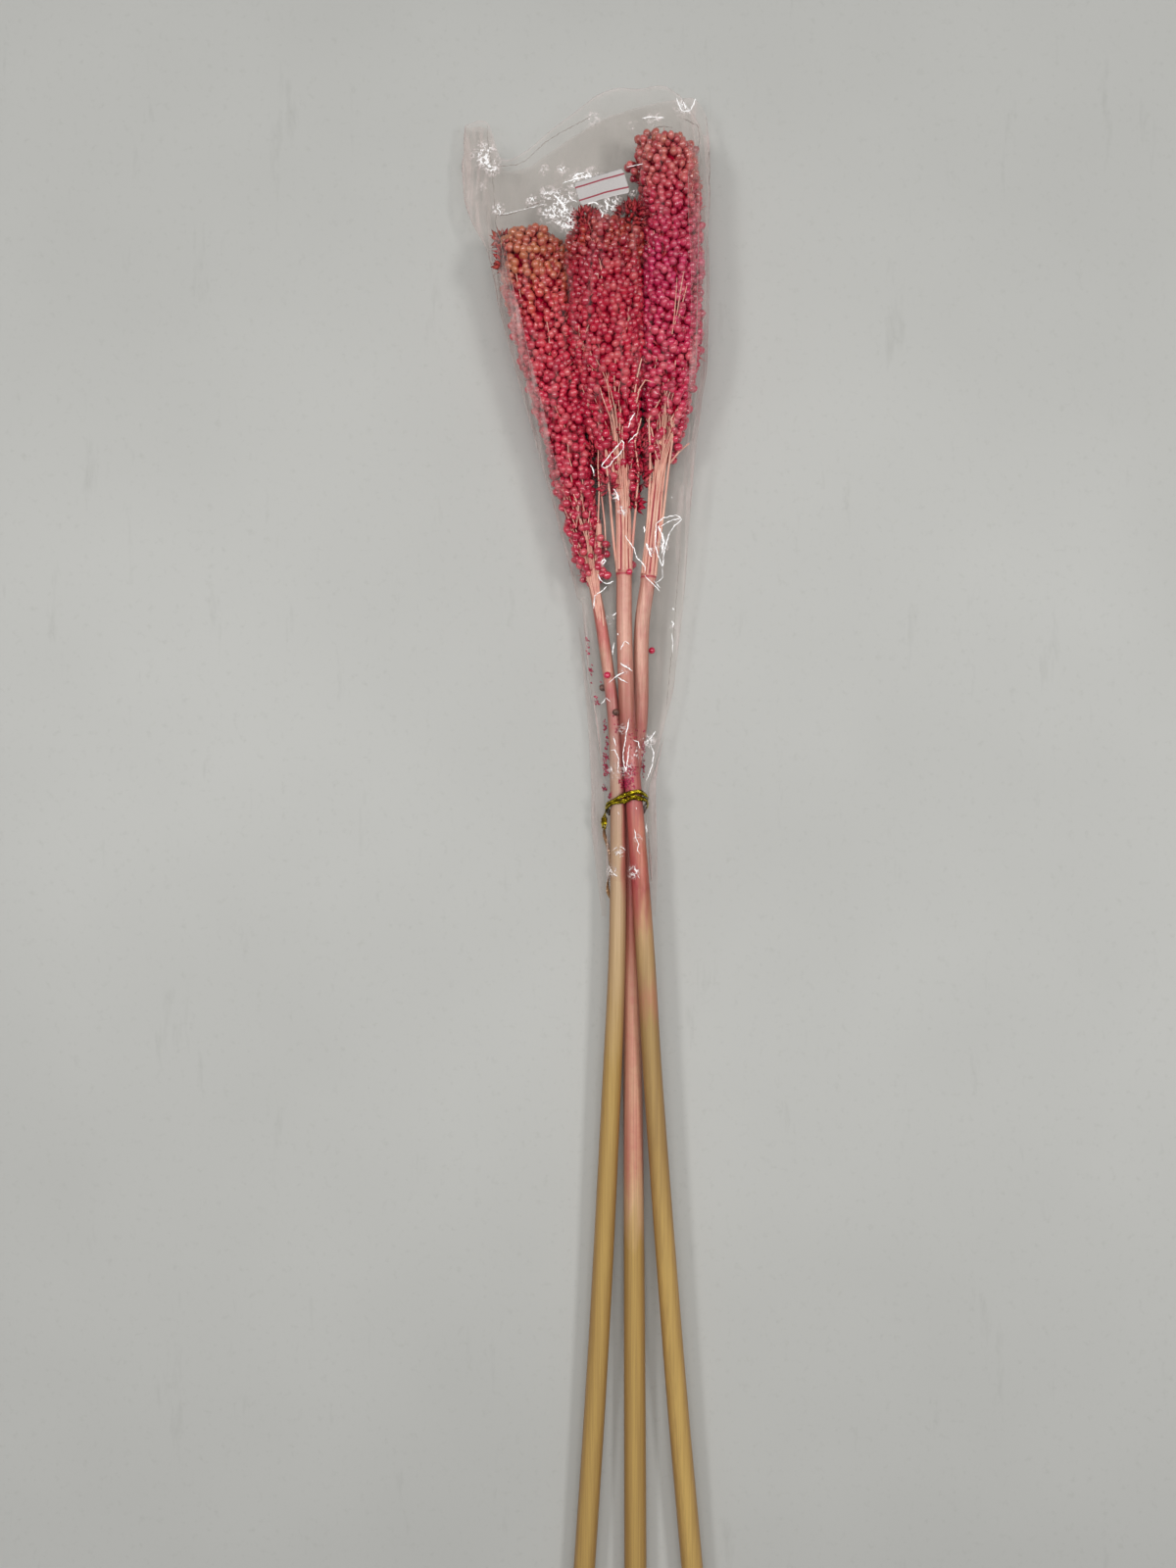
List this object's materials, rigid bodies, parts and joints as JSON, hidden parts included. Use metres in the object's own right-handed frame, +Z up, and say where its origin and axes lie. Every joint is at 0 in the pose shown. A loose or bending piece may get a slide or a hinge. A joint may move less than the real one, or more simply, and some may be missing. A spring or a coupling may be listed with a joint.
{
  "type": "tied bunch of preserved sorghum stems in a clear sleeve",
  "caption": "Dyed, dried sorghum stems with full grain heads, tied by a foil twist tie in a clear flower sleeve and lying flat.",
  "frame": {"origin": "middle of the bunch's outline on the surface that it lies on", "axes": "+Z up from the surface, +Y along the stems towards the seed heads, +X to the right seen from above with the heads away"},
  "size_m": [0.1152, 0.7413, 0.0361],
  "materials": {
    "stalk": "dry waxy straw with pink dye near the seed heads",
    "seeds": "pearly dyed seeds, coral at the tips and crimson pink below",
    "film": "clear crinkled film",
    "foil": "bright gold foil over a wire",
    "label_paper": "matt blank label with two thin red lines"
  },
  "bodies": {
    "root": {"stem_left": "stalk", "seed_head_left": "seeds", "stem_centre": "stalk", "seed_head_centre": "seeds", "stem_right": "stalk", "seed_head_right": "seeds", "sleeve": "film", "twist_tie": "foil", "price_label": "label_paper"}
  },
  "joints": []
}
